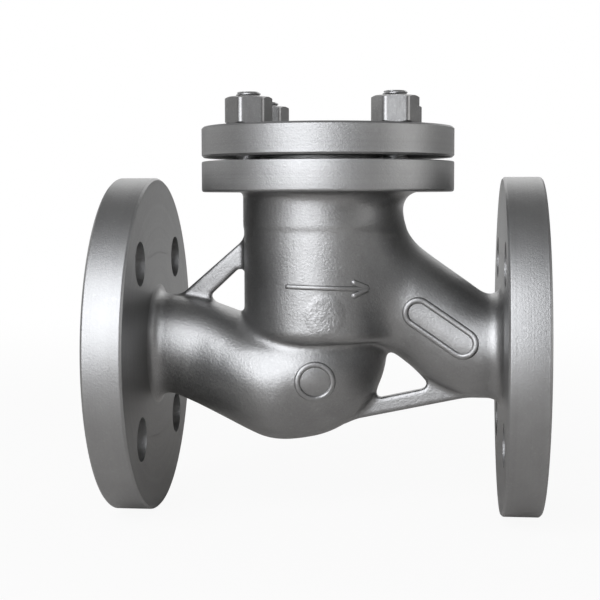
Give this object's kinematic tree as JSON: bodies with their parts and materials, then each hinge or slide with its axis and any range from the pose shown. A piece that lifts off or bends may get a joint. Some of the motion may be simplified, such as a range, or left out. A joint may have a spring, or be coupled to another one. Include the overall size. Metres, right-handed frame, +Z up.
{
  "type": "lift non-return valve",
  "caption": "Flanged globe-pattern lift non-return valve in cast stainless steel with an S-shaped passage, a bolted cover and a spring-closed disc.",
  "frame": {"origin": "centre of the inlet flange's sealing face, on the flow axis", "axes": "+X along the flow from inlet to outlet, +Z up along the bonnet axis towards the cover, +Y across the flow, away from the viewer in the picture"},
  "size_m": [0.18, 0.14, 0.1733],
  "materials": {
    "cast_body": "shot-blasted stainless casting, matt with a fine grain",
    "machined_steel": "fine turned stainless",
    "spring_wire": "drawn stainless wire",
    "cover_steel": "blasted face with a turned rim",
    "gasket_graphite": "pressed graphite sheet",
    "stud_steel": "rolled thread with bright turned ends",
    "nut_steel": "cold-formed stainless, satin"
  },
  "bodies": {
    "valve_body": {"body": "cast_body", "seat_ring": "machined_steel", "guide_bush": "machined_steel", "cover": "cover_steel", "cover_gasket": "gasket_graphite", "closing_spring": "spring_wire", "cover_stud_1": "stud_steel", "cover_stud_2": "stud_steel", "cover_stud_3": "stud_steel", "cover_stud_4": "stud_steel", "cover_nut_1": "nut_steel", "cover_nut_2": "nut_steel", "cover_nut_3": "nut_steel", "cover_nut_4": "nut_steel"},
    "disc": {"check_disc": "machined_steel"}
  },
  "joints": [
    {"name": "disc_lift", "type": "slide", "parent": "valve_body", "child": "disc", "axis": [0, 0, 1], "range_m": [0, 0.01], "stiffness_N_per_m": 400, "springref_m": -0.012, "deforming": ["closing_spring"]}
  ]
}
